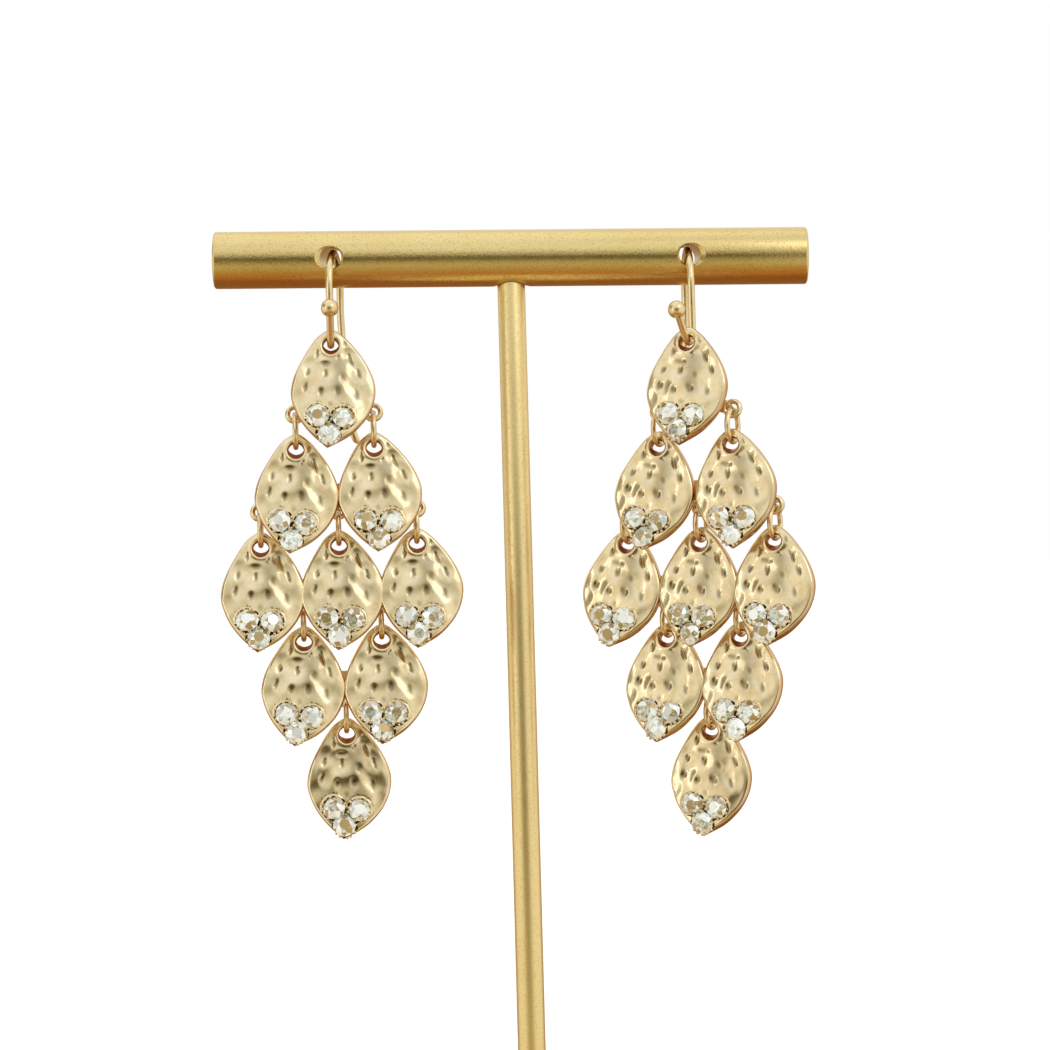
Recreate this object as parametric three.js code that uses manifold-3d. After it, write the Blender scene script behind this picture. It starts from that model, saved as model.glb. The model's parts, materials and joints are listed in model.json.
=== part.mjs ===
// A pair of chandelier earrings hanging by their ear wires from a plain T-bar display stand.
// Each earring is five tiers of hammered leaf plaques (1, 2, 3, 2, 1), linked by round jump rings.
// Millimetres, +Z up. The origin is the centre of the stand's foot on its underside; -Y is the front.
import * as THREE from "three";
import { mergeVertices } from "three/addons/utils/BufferGeometryUtils.js";
import Module from "manifold-3d";

const wasm = await Module();
wasm.setup();

// ---------------------------------------------------------------- driving dimensions

const STAND = {
  footRadius: 30,
  footHeight: 5,
  footRound: 1,
  postRadius: 1.8,
  postSocketRadius: 2.0,
  postFootDepth: 3,
  postHeadDepth: 2,
  barHeight: 125,
  barRadius: 3.7,
  barLength: 77,
  barEdge: 0.4,
  barLeanDeg: 1.05, // the bar sits about a degree off square on its post
  holeOffset: 22.95,
  holeRadius: 1.4,
  holeMouthRadius: 1.85,
};

const HOOK = {
  wireRadius: 0.475,
  archRadius: 4.8,
  archCrown: 0.8, // centre of the wire above the hole's axis
  bendRadius: 1.375,
  hingeDrop: 10.1, // centre of the U-bend below the hole's axis
  ballRadius: 1.13,
  tailDrop: 23.8,
  tailKickBack: 0.8,
};

const PLAQUE = {
  thickness: 1.2,
  boreRadius: 1.1,
  rimDrop: 1.65, // from the middle of the rim over the bore to the bore's centre
  padWidth: 3.2,
  padHeight: 2.4,
  padDrop: 5.6,
};

// Outline of one plaque: its edges left and right of the bore at each height above the bore's centre.
const PLAQUE_EDGES = [
  { z: 1.3, left: -1.6, right: 1.65 },
  { z: 0, left: -2.55, right: 2.95 },
  { z: -1.4, left: -3.3, right: 4.1 },
  { z: -3.2, left: -4.15, right: 5.2 },
  { z: -5.0, left: -4.7, right: 5.85 },
  { z: -6.8, left: -4.8, right: 5.85 },
  { z: -8.5, left: -4.25, right: 5.35 },
  { z: -10.1, left: -3.35, right: 4.4 },
  { z: -11.8, left: -1.85, right: 2.75 },
];
const PLAQUE_TOP = 2.2;
const PLAQUE_TIP = { x: 0.1, z: -13.4 };

const STONE = {
  radius: 1.4,
  tableRadius: 0.8,
  tableHeight: 0.85,
  girdleHeight: 0.35,
  culetDepth: 1.0,
  seatGap: 0.09,
};
const STONE_PLACES = [
  { x: -1.35, z: -9.55 },
  { x: 2.0, z: -9.6 },
  { x: 0.25, z: -11.9 },
];

const RING = { radius: 2.08, wireRadius: 0.35, aboveRim: 0.94, belowEyelet: 1.25 };
const EYELET = { outerRadius: 1.25, boreRadius: 0.65 };
const BACK_BAR_THICKNESS = 0.8;

// The tiers from the top. pitch is the fall from one row of bores to the next, tiltDeg how far the plaques'
// tips come forward, and back how far the back bar lies behind the plaques' middle.
const HALF_PITCH = 5.0;
const TIERS = [
  { count: 1, pitch: 13.2, tiltDeg: 14, back: 3.15 },
  { count: 2, pitch: 12.45, tiltDeg: 11.5, back: 2.65 },
  { count: 3, pitch: 12.2, tiltDeg: 11.5, back: 2.65 },
  { count: 2, pitch: 12.0, tiltDeg: 11.5, back: 2.65 },
  { count: 1, pitch: 0, tiltDeg: 7, back: 0 },
];

// The two earrings. bendEndDeg is how far round the U-bend goes before the stem runs straight to the ball,
// swaysDeg how far each row's fall to the next is off plumb, and leansDeg each plaque's own turn on its bar by
// tier, tip to the right when positive.
const EARRINGS = [
  {
    side: "left",
    holeX: -STAND.holeOffset,
    boreYawDeg: 4.5,
    archYawDeg: 5,
    yawDeg: 3.2,
    bendEndDeg: 147,
    stemLength: 4.65,
    tailKickX: 1.7,
    swaysDeg: [0.8, 0.8, 0.8, 0.8],
    leansDeg: [[-3.8], [-5.4, 0.2], [-3.6, -2.2, -1.6], [-7, -1.8], [-3.6]],
  },
  {
    side: "right",
    holeX: STAND.holeOffset,
    boreYawDeg: -4,
    archYawDeg: -2,
    yawDeg: -23,
    bendEndDeg: 138,
    stemLength: 4.75,
    tailKickX: -0.8,
    swaysDeg: [1.8, 0.65, -0.55, 1.8],
    leansDeg: [[-2.5], [-7.3, 2.3], [-9.2, -4.2, -3.2], [-4.2, -0.8], [-4.2]],
  },
];

const FINISH = {
  stand: { color: 0xc9a85a, roughness: 0.35, metalness: 1 },
  metal: { color: 0xdcc79a, roughness: 0.4, metalness: 1 },
  wire: { color: 0xe8d5a0, roughness: 0.25, metalness: 1 },
  stone: { color: 0xf2ecd8, roughness: 0.05, metalness: 0 },
};

// ---------------------------------------------------------------- helpers

const radians = THREE.MathUtils.degToRad;

// A closed three.js geometry as a solid, so that it can be joined and cut.
function solid(geometry) {
  const bare = geometry.clone();
  bare.deleteAttribute("normal");
  bare.deleteAttribute("uv");
  const merged = mergeVertices(bare, 1e-4);
  const triVerts = new Uint32Array(merged.index.array);
  const vertProperties = new Float32Array(merged.attributes.position.array);
  const made = new wasm.Manifold(new wasm.Mesh({ numProp: 3, vertProperties, triVerts }));
  if (made.volume() > 0) return made;
  for (let i = 0; i < triVerts.length; i += 3) {
    [triVerts[i], triVerts[i + 1]] = [triVerts[i + 1], triVerts[i]];
  }
  return new wasm.Manifold(new wasm.Mesh({ numProp: 3, vertProperties, triVerts }));
}

// A solid as a three.js geometry.
function geometryOf(made) {
  const { vertProperties, triVerts } = made.getMesh();
  const geometry = new THREE.BufferGeometry();
  geometry.setAttribute("position", new THREE.BufferAttribute(vertProperties, 3));
  geometry.setIndex(new THREE.BufferAttribute(triVerts, 1));
  geometry.computeVertexNormals();
  return geometry;
}

function joined(solids) {
  return solids.reduce((whole, next) => whole.add(next));
}

// A turned shape about +Z from [radius, height] pairs that start and end on the axis.
function turned(profile, segments) {
  const points = profile.map(([r, h]) => new THREE.Vector2(r, h));
  return new THREE.LatheGeometry(points, segments).rotateX(Math.PI / 2);
}

// A flat plate in the XZ plane, its middle at depth y.
function plate(shape, thickness, y = 0, curveSegments = 5) {
  const geometry = new THREE.ExtrudeGeometry(shape, {
    depth: thickness,
    bevelEnabled: false,
    curveSegments,
  });
  return geometry.rotateX(Math.PI / 2).translate(0, y + thickness / 2, 0);
}

function polygon(pairs) {
  return new THREE.Shape(pairs.map(([x, z]) => new THREE.Vector2(x, z)));
}

function circlePairs(radius, sides) {
  return Array.from({ length: sides }, (_, i) => {
    const turn = (2 * Math.PI * i) / sides;
    return [radius * Math.cos(turn), radius * Math.sin(turn)];
  });
}

// A round rod of the given radius along +Y, its middle at the origin.
function rodY(radius, length, sides) {
  return new THREE.CylinderGeometry(radius, radius, length, sides);
}

const materials = Object.fromEntries(
  Object.entries(FINISH).map(([name, look]) => [name, new THREE.MeshStandardMaterial(look)]),
);

function piece(parent, name, geometry, look) {
  const mesh = new THREE.Mesh(geometry, materials[look].clone());
  mesh.name = name;
  parent.add(mesh);
  return mesh;
}

// ---------------------------------------------------------------- stand

// The bar's height over a place along it, and where each ear wire's hole is.
function barHeightAt(x) {
  return STAND.barHeight - x * Math.tan(radians(STAND.barLeanDeg));
}

function standFoot() {
  const { footRadius: r, footHeight: h, footRound: e } = STAND;
  const socketFloor = h - STAND.postFootDepth;
  const disc = turned([[0, 0], [r, 0], [r, h - e], [r - e, h], [0, h]], 32);
  const socket = turned(
    [[0, socketFloor], [STAND.postSocketRadius, socketFloor], [STAND.postSocketRadius, h + 1], [0, h + 1]],
    16,
  );
  return geometryOf(solid(disc).subtract(solid(socket)));
}

function standPost() {
  const low = STAND.footHeight - STAND.postFootDepth + 0.2;
  const high = STAND.barHeight - STAND.barRadius + STAND.postHeadDepth - 0.2;
  return turned([[0, low], [STAND.postRadius, low], [STAND.postRadius, high], [0, high]], 16);
}

// The bar is made level along X at the origin, then turned to its slight lean.
function standBar() {
  const { barRadius: r, barEdge: e } = STAND;
  const half = STAND.barLength / 2;
  const body = turned([[0, -half], [r - e, -half], [r, e - half], [r, half - e], [r - e, half], [0, half]], 32);
  let bar = solid(body.rotateY(Math.PI / 2));
  const mouthDepth = STAND.holeMouthRadius - STAND.holeRadius;
  for (const { holeX, boreYawDeg } of EARRINGS) {
    const inPlace = (geometry) => solid(geometry.rotateZ(-radians(boreYawDeg)).translate(holeX, 0, 0));
    bar = bar.subtract(inPlace(rodY(STAND.holeRadius, 4 * r, 16)));
    for (const face of [-1, 1]) {
      const mouth = new THREE.CylinderGeometry(
        STAND.holeMouthRadius + 1,
        STAND.holeRadius,
        mouthDepth + 1,
        16,
      );
      if (face < 0) mouth.rotateX(Math.PI);
      mouth.translate(0, face * (r - mouthDepth + (mouthDepth + 1) / 2), 0);
      bar = bar.subtract(inPlace(mouth));
    }
  }
  bar = bar.rotate([0, STAND.barLeanDeg, 0]);
  const socket = turned(
    [
      [0, -r - 1],
      [STAND.postSocketRadius, -r - 1],
      [STAND.postSocketRadius, -r + STAND.postHeadDepth],
      [0, -r + STAND.postHeadDepth],
    ],
    16,
  );
  return geometryOf(bar.subtract(solid(socket)));
}

// ---------------------------------------------------------------- ear hook

// Centres of the wire from the tail's end to the ball. The origin is on the hole's axis under the arch.
function hookRoute({ archYawDeg, yawDeg, tailKickX, bendEndDeg, stemLength }) {
  const back = new THREE.Vector3(Math.sin(radians(archYawDeg)), Math.cos(radians(archYawDeg)), 0);
  const front = new THREE.Vector3(Math.sin(radians(yawDeg)), -Math.cos(radians(yawDeg)), 0);
  const up = new THREE.Vector3(0, 0, 1);
  const at = (base, ...parts) => parts.reduce((p, [way, by]) => p.addScaledVector(way, by), base.clone());
  const axis = new THREE.Vector3();
  const route = [];

  const tail = at(axis, [back, HOOK.archRadius]);
  const archCentre = HOOK.archCrown - HOOK.archRadius;
  route.push(
    at(tail, [up, -HOOK.tailDrop], [back, HOOK.tailKickBack]).add(new THREE.Vector3(tailKickX, 0, 0)),
    at(tail, [up, -HOOK.tailDrop + 2.2], [back, 0.2]).add(new THREE.Vector3(0.6 * tailKickX, 0, 0)),
    at(tail, [up, -HOOK.tailDrop + 8]).add(new THREE.Vector3(0.25 * tailKickX, 0, 0)),
    at(tail, [up, archCentre - 3.5]),
  );
  const archSteps = 12;
  for (let i = 0; i <= archSteps; i++) {
    const turn = (Math.PI * i) / archSteps;
    route.push(
      at(axis, [back, HOOK.archRadius * Math.cos(turn)], [up, archCentre + HOOK.archRadius * Math.sin(turn)]),
    );
  }
  const leg = at(axis, [back, -HOOK.archRadius]);
  route.push(at(leg, [up, -HOOK.hingeDrop + 3]));
  const bendSteps = 8;
  for (let i = 0; i <= bendSteps; i++) {
    const turn = (radians(bendEndDeg) * i) / bendSteps;
    route.push(
      at(
        leg,
        [front, HOOK.bendRadius * (1 - Math.cos(turn))],
        [up, -HOOK.hingeDrop - HOOK.bendRadius * Math.sin(turn)],
      ),
    );
  }
  const bendEnd = radians(bendEndDeg);
  const stemFoot = route[route.length - 1];
  const ball = at(stemFoot, [front, stemLength * Math.sin(bendEnd)], [up, -stemLength * Math.cos(bendEnd)]);
  route.push(stemFoot.clone().lerp(ball, 0.5), ball);
  return { route, ball, hinge: at(leg, [front, HOOK.bendRadius], [up, -HOOK.hingeDrop]) };
}

function earHook(earring) {
  const { route, ball } = hookRoute(earring);
  const wire = new THREE.ExtrudeGeometry(polygon(circlePairs(HOOK.wireRadius, 8)), {
    steps: 64,
    bevelEnabled: false,
    extrudePath: new THREE.CatmullRomCurve3(route, false, "centripetal"),
  });
  const bead = new THREE.SphereGeometry(HOOK.ballRadius, 12, 8).translate(ball.x, ball.y, ball.z);
  return geometryOf(solid(wire).add(solid(bead)));
}

// ---------------------------------------------------------------- plaques and tiers

// The leaf's edge, one smooth line from the tip round the top and back, with the hanging bore.
function plaqueShape() {
  const leftUp = [...PLAQUE_EDGES].reverse().map(({ z, left }) => [left, z]);
  const rightDown = PLAQUE_EDGES.map(({ z, right }) => [right, z]);
  const tip = [PLAQUE_TIP.x, PLAQUE_TIP.z];
  const edge = new THREE.SplineCurve(
    [tip, ...leftUp, [0, PLAQUE_TOP], ...rightDown, tip].map(([x, z]) => new THREE.Vector2(x, z)),
  );
  const shape = new THREE.Shape(edge.getPoints(26).slice(0, -1));
  shape.holes.push(new THREE.Path(circlePairs(PLAQUE.boreRadius, 12).map(([x, z]) => new THREE.Vector2(x, z))));
  return shape;
}

// One stone on its own axis +Z, its face plane at 0; grown by a gap it is the seat cut for it.
function stoneProfile(gap = 0) {
  const slope = STONE.radius / (STONE.girdleHeight + STONE.culetDepth);
  const outer = STONE.radius + gap;
  const girdle = STONE.girdleHeight;
  const culet = girdle - outer / slope;
  return { outer, girdle, culet };
}

function stone() {
  const { outer, girdle, culet } = stoneProfile();
  return turned([[0, culet], [outer, girdle], [STONE.tableRadius, STONE.tableHeight], [0, STONE.tableHeight]], 8);
}

function seat() {
  const { outer, girdle, culet } = stoneProfile(STONE.seatGap);
  return turned([[0, culet], [outer, girdle], [0, girdle]], 8);
}

// Turns a shape made about +Z so that it faces forward from the plaque's face at one of the stones' places.
function onFace(geometry, { x, z }) {
  return geometry.rotateX(Math.PI / 2).translate(x, -PLAQUE.thickness / 2, z);
}

function plaque(back) {
  let leaf = solid(plate(plaqueShape(), PLAQUE.thickness));
  if (back > 0) {
    const depth = back - PLAQUE.thickness / 2;
    const pad = new THREE.BoxGeometry(PLAQUE.padWidth, depth, PLAQUE.padHeight);
    pad.translate(0, PLAQUE.thickness / 2 - 0.1 + depth / 2, -PLAQUE.padDrop);
    leaf = leaf.add(solid(pad));
  }
  for (const place of STONE_PLACES) leaf = leaf.subtract(solid(onFace(seat(), place)));
  return leaf;
}

// The three stones of a plaque with the bed of setting cement that joins them just over the face.
function stones() {
  const bed = plate(polygon(STONE_PLACES.map(({ x, z }) => [x, z])), 0.2, -PLAQUE.thickness / 2 - 0.2);
  return geometryOf(joined([solid(bed), ...STONE_PLACES.map((place) => solid(onFace(stone(), place)))]));
}

// Places of a tier's plaques along X, evenly about the middle.
function row(count) {
  return Array.from({ length: count }, (_, i) => (2 * i - (count - 1)) * HALF_PITCH);
}

// The eyelets' places on a tier's back bar: over the bores of the next tier, moved over by its sway.
function eyelets(tier, next, sway) {
  const drop = eyeletDrop(tier, next);
  return row(next.count).map((x) => ({ x: x + sway, z: -drop }));
}

// How far down the plaque an eyelet's centre is, so that the next row of bores falls by the tier's pitch.
function eyeletDrop(tier, next) {
  const tilt = radians(tier.tiltDeg);
  const nextTilt = radians(next.tiltDeg);
  const fall = tier.pitch - RING.belowEyelet - RING.aboveRim - PLAQUE.rimDrop * Math.cos(nextTilt);
  return (fall - tier.back * Math.sin(tilt)) / Math.cos(tilt) - eyeletWallDrop();
}

// From an eyelet's centre to the middle of the wall under it, where the ring hangs.
function eyeletWallDrop() {
  return (EYELET.outerRadius + EYELET.boreRadius) / 2;
}

// The cast back bar that carries a tier: an anchor on the top tier, a plain bar on the others.
function backBarShape(count, places) {
  const first = places[0];
  const last = places[places.length - 1];
  const foot = first.z + 0.3;
  if (count === 1) {
    return polygon([
      [-1.3, -3.6],
      [1.3, -3.6],
      [1.9, -5.3],
      [last.x - 0.6, foot + 0.7],
      [last.x, foot],
      [last.x - 0.9, foot - 0.9],
      [0.9, -7.4],
      [-0.9, -7.4],
      [first.x + 0.9, foot - 0.9],
      [first.x, foot],
      [first.x + 0.6, foot + 0.7],
      [-1.9, -5.3],
    ]);
  }
  const shoulder = (count - 1) * HALF_PITCH + 1.2;
  return polygon([
    [first.x - 0.6, foot],
    [last.x + 0.6, foot],
    [shoulder, foot + 2.6],
    [shoulder - 0.8, foot + 3.2],
    [0.8 - shoulder, foot + 3.2],
    [-shoulder, foot + 2.6],
  ]);
}

function tierSolid(tier, next, sway, leansDeg) {
  const parts = row(tier.count).map((x, i) =>
    plaque(next ? tier.back : 0)
      .rotate([0, -leansDeg[i], 0])
      .translate([x, 0, 0]),
  );
  if (!next) return geometryOf(joined(parts));
  const places = eyelets(tier, next, sway);
  parts.push(solid(plate(backBarShape(tier.count, places), BACK_BAR_THICKNESS, tier.back)));
  const lugs = places.map(({ x, z }) =>
    plate(polygon(circlePairs(EYELET.outerRadius, 12)), BACK_BAR_THICKNESS, tier.back).translate(x, 0, z),
  );
  parts.push(...lugs.map(solid));
  const bores = places.map(({ x, z }) =>
    rodY(EYELET.boreRadius, 3 * BACK_BAR_THICKNESS, 8).translate(x, tier.back, z),
  );
  return geometryOf(joined(parts).subtract(joined(bores.map(solid))));
}

// One jump ring standing in the YZ plane.
function jumpRing() {
  return new THREE.TorusGeometry(RING.radius, RING.wireRadius, 6, 14).rotateY(Math.PI / 2);
}

// ---------------------------------------------------------------- assembly

const model = new THREE.Group();

const stand = new THREE.Group();
piece(stand, "stand_base", standFoot(), "stand");
piece(stand, "stand_post", standPost(), "stand");
piece(stand, "stand_bar", standBar(), "stand").position.z = STAND.barHeight;
model.add(stand);

for (const earring of EARRINGS) {
  const { side, holeX, yawDeg, swaysDeg, leansDeg } = earring;
  const hung = new THREE.Group();
  hung.position.set(holeX, 0, barHeightAt(holeX));
  model.add(hung);
  piece(hung, `${side}_ear_hook`, earHook(earring), "wire");

  // The drop hangs from the U-bend: its group's origin is the bend's centre, its X the axis it swings on.
  const drop = new THREE.Group();
  drop.position.copy(hookRoute(earring).hinge);
  drop.rotation.z = radians(yawDeg);
  hung.add(drop);

  const rim = new THREE.Vector3();
  TIERS.forEach((tier, i) => {
    const number = i + 1;
    const next = TIERS[i + 1];
    const tilt = radians(tier.tiltDeg);
    const frame = new THREE.Group();
    frame.position.set(
      rim.x,
      rim.y - PLAQUE.rimDrop * Math.sin(tilt),
      rim.z - PLAQUE.rimDrop * Math.cos(tilt),
    );
    frame.rotation.x = -tilt;
    drop.add(frame);
    const sway = next ? tier.pitch * Math.tan(radians(swaysDeg[i])) : 0;
    piece(frame, `${side}_tier_${number}`, tierSolid(tier, next, sway, leansDeg[i]), "metal");
    row(tier.count).forEach((x, k) => {
      const set = piece(frame, `${side}_stones_${number}_${k + 1}`, stones(), "stone");
      set.position.x = x;
      set.rotation.y = -radians(leansDeg[i][k]);
    });
    if (!next) return;
    frame.updateMatrix();
    const places = eyelets(tier, next, sway);
    let hangY = 0;
    let hangZ = 0;
    places.forEach(({ x, z }, k) => {
      const wall = new THREE.Vector3(x, tier.back, z - eyeletWallDrop()).applyMatrix4(frame.matrix);
      const ring = piece(drop, `${side}_jump_ring_${number}_${k + 1}`, jumpRing(), "wire");
      ring.position.set(wall.x, wall.y, wall.z - RING.belowEyelet);
      hangY = wall.y;
      hangZ = wall.z - RING.belowEyelet - RING.aboveRim;
    });
    rim.set(rim.x + sway, hangY, hangZ);
  });
}

export default model;
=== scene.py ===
import json
import math
import random

import bmesh
import bpy
from mathutils import Matrix, Vector
from mathutils.kdtree import KDTree


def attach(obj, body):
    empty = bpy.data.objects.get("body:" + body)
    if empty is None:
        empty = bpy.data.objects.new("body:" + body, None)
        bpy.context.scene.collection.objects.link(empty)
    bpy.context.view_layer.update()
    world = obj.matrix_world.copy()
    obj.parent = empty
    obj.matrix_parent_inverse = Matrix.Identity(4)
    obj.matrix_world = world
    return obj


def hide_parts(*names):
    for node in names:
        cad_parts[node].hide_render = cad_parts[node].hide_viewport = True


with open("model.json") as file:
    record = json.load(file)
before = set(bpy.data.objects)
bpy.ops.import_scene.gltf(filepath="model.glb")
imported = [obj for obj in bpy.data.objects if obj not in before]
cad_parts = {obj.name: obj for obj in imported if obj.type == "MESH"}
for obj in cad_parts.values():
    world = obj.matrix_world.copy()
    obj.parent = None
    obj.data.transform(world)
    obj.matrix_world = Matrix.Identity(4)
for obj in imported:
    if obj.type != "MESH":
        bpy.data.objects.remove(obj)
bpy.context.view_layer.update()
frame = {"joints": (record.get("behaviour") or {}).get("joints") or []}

# ---------------------------------------------------------------- dimensions, in millimetres

MM = 0.001
RIGHT, BACK, UP = Vector((1, 0, 0)), Vector((0, 1, 0)), Vector((0, 0, 1))

BAR_HEIGHT, BAR_RADIUS, BAR_LENGTH, BAR_EDGE, BAR_LEAN = 125.0, 3.7, 77.0, 0.35, 1.05
HOLE_OFFSET, HOLE_RADIUS, HOLE_MOUTH = 22.95, 1.4, 1.85
FOOT_RADIUS, FOOT_HEIGHT, FOOT_ROUND = 30.0, 5.0, 1.0
POST_RADIUS, SOCKET_RADIUS, SOCKET_MOUTH = 1.8, 2.0, 2.9
POST_IN_FOOT, POST_IN_BAR, FOOT_SOCKET, BAR_SOCKET = 2.8, 1.8, 3.0, 2.0

WIRE_RADIUS, ARCH_RADIUS, ARCH_CROWN = 0.475, 4.8, 0.8
BEND_RADIUS, HINGE_DROP = 1.375, 10.1
BALL_RADIUS, TAIL_DROP, TAIL_KICK_BACK = 1.13, 23.8, 0.8
WIRE_STATIONS, WIRE_SIDES = 220, 20

LEAF_THICKNESS, LEAF_BORE, RIM_DROP = 1.2, 1.0, 1.65
RING_RADIUS, RING_WIRE, RING_ABOVE_RIM, RING_BELOW_EYELET = 2.08, 0.35, 0.94, 1.25
EYELET_OUTER, EYELET_BORE, BACK_BAR = 1.25, 0.65, 0.8
HALF_PITCH = 5.0
STONE_RISE, GIRDLE_RADIUS, STONE_TILT, STONE_SHIFT = 0.3, 1.47, 14, 0.12
SEAT_RADIUS, SEAT_DEPTH, CUP_RADIUS, CUP_HEIGHT = 1.60, 0.5, 2.5, 0.9
DOME_RISE, DOME_MIDDLE, DOME_HALF_WIDTH = 0.5, 0.4, 5.6
EDGE_ROUND, BORE_ROUND = 0.42, 0.2

# The leaf's edges left and right of its bore at each height from it.
LEAF_EDGES = [
    # z, left, right
    (1.3, -1.6, 1.65),
    (0.0, -2.55, 2.95),
    (-1.4, -3.3, 4.1),
    (-3.2, -4.15, 5.2),
    (-5.0, -4.7, 5.85),
    (-6.8, -4.8, 5.85),
    (-8.5, -4.25, 5.35),
    (-10.1, -3.35, 4.4),
    (-11.8, -1.85, 2.75),
]
LEAF_TOP, LEAF_TIP = (0.0, 2.2), (0.1, -13.4)

# The hammer's broad dishes on a leaf, and the sharper strokes among them.
# Each is x, z, half width, half height, turn in degrees, depth.
DISHES = [
    (-0.5, -3.7, 1.45, 1.45, 0, 0.12),
    (2.8, -5.0, 0.90, 1.50, -15, 0.12),
    (-2.6, -3.0, 0.90, 1.20, 15, 0.08),
    (-2.4, -5.4, 1.00, 1.30, 5, 0.10),
    (3.4, -3.4, 0.90, 1.40, -25, 0.09),
    (3.9, -6.0, 1.00, 1.50, 0, 0.08),
    (0.0, -6.6, 1.30, 1.20, 0, 0.10),
    (2.3, -1.2, 0.80, 0.90, -30, 0.06),
    (-4.0, -7.6, 0.80, 1.20, 10, 0.06),
    (4.4, -8.6, 0.80, 1.20, 20, 0.06),
]
STROKES = [
    (1.75, 0.25, 0.28, 0.38, -20, 0.06),
    (-1.65, -1.2, 0.28, 0.60, 8, 0.09),
    (1.0, -1.6, 0.25, 0.42, -5, 0.06),
    (2.65, -1.9, 0.30, 0.85, -24, 0.11),
    (-0.55, -2.5, 0.75, 0.40, 0, 0.07),
    (-0.45, -3.8, 0.33, 0.55, 0, 0.09),
    (-2.75, -3.7, 0.33, 0.50, 12, 0.09),
    (3.75, -3.7, 0.30, 0.70, -24, 0.10),
    (1.65, -4.3, 0.45, 0.70, -10, 0.08),
    (-3.0, -5.8, 0.35, 0.60, 14, 0.10),
    (-1.0, -6.3, 0.42, 0.55, 5, 0.10),
    (1.2, -6.1, 0.55, 0.75, -12, 0.10),
    (3.55, -6.5, 0.35, 0.65, -10, 0.08),
    (0.25, -7.9, 0.40, 0.40, 0, 0.05),
]
# Where the stones' middles are on a leaf, in x and z.
STONE_PLACES = [(-1.35, -9.45), (1.95, -9.6), (0.2, -11.75)]

# The rows of leaves from the top: how many, the fall to the next row's bores, how far the tips come
# forward in degrees, and how far the back bar lies behind the leaves' middle.
ROWS = [
    # leaves, pitch, tilt, back
    (1, 13.2, 14.0, 3.15),
    (2, 12.45, 11.5, 2.65),
    (3, 12.2, 11.5, 2.65),
    (2, 12.0, 11.5, 2.65),
    (1, 0.0, 7.0, 0.0),
]
# How each earring hangs: turns and leans in degrees, lengths in millimetres.
EARRINGS = {
    "left": {
        "hole_x": -HOLE_OFFSET,
        "bore_yaw": 4.5,
        "arch_yaw": 5.0,
        "yaw": 3.2,
        "bend_end": 147.0,
        "stem": 4.65,
        "tail_kick": 1.7,
        "sways": [0.8, 0.8, 0.8, 0.8],
        "leans": [[-3.8], [-5.4, 0.2], [-3.6, -2.2, -1.6], [-7.0, -1.8], [-3.6]],
    },
    "right": {
        "hole_x": HOLE_OFFSET,
        "bore_yaw": -4.0,
        "arch_yaw": -2.0,
        "yaw": -23.0,
        "bend_end": 138.0,
        "stem": 4.75,
        "tail_kick": -0.8,
        "sways": [1.8, 0.65, -0.55, 1.8],
        "leans": [[-2.5], [-7.3, 2.3], [-9.2, -4.2, -3.2], [-4.2, -0.8], [-4.2]],
    },
}
STAND_BODY = "stand"


# ---------------------------------------------------------------- finishes

class Value:
    """A number that varies over a surface, as a node's output."""

    def __init__(self, finish, socket):
        self.finish = finish
        self.socket = socket

    def maths(self, operation, *values):
        return self.finish.node("ShaderNodeMath", {"operation": operation}, dict(enumerate(values)))

    def __add__(self, other):
        return self.maths("ADD", self, other)

    __radd__ = __add__

    def __sub__(self, other):
        return self.maths("SUBTRACT", self, other)

    def __rsub__(self, other):
        return self.maths("SUBTRACT", other, self)

    def __mul__(self, other):
        return self.maths("MULTIPLY", self, other)

    __rmul__ = __mul__

    def within(self, low, high):
        """0 below low, 1 above high and smooth between."""
        settings = {"interpolation_type": "SMOOTHSTEP"}
        sockets = {"Value": self, "From Min": low, "From Max": high}
        return self.finish.node("ShaderNodeMapRange", settings, sockets)


class Finish:
    """A node tree, for a material or the world, built by one method."""

    def __init__(self, tree):
        self.tree = tree
        self.tree.nodes.clear()

    def node(self, kind, settings=None, sockets=None, out=0):
        made = self.tree.nodes.new(kind)
        for key, value in (settings or {}).items():
            if key == "stops":
                ramp = made.color_ramp
                while len(ramp.elements) < len(value):
                    ramp.elements.new(0.5)
                for element, (place, colour) in zip(ramp.elements, value):
                    element.position = place
                    element.color = (*colour, 1)
            else:
                setattr(made, key, value)
        for key, value in (sockets or {}).items():
            if isinstance(value, Value):
                self.tree.links.new(value.socket, made.inputs[key])
            else:
                made.inputs[key].default_value = value
        return Value(self, made.outputs[out]) if made.outputs else made

    def place(self):
        return self.node("ShaderNodeTexCoord", out="Object")

    def noise(self, size, detail=2.0, roughness=0.5):
        """Noise with features of about that size in millimetres."""
        sockets = {
            "Vector": self.place(),
            "Scale": 1 / (size * MM),
            "Detail": detail,
            "Roughness": roughness,
        }
        return self.node("ShaderNodeTexNoise", {"noise_dimensions": "3D"}, sockets)

    def blend(self, amount, first, second):
        sockets = {"Factor": amount, "A": first, "B": second}
        return self.node("ShaderNodeMix", {"data_type": "RGBA"}, sockets, out="Result")

    def bump(self, height, strength, distance):
        sockets = {"Height": height, "Strength": strength, "Distance": distance * MM}
        return self.node("ShaderNodeBump", None, sockets)


def colour(red, green, blue):
    return (red, green, blue, 1.0)


def material(name):
    made = bpy.data.materials.new(name)
    made.use_nodes = True
    return made, Finish(made.node_tree)


def shade(finish, **sockets):
    named = {key.replace("_", " "): value for key, value in sockets.items()}
    shader = finish.node("ShaderNodeBsdfPrincipled", None, named)
    finish.node("ShaderNodeOutputMaterial", None, {"Surface": shader})


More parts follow.
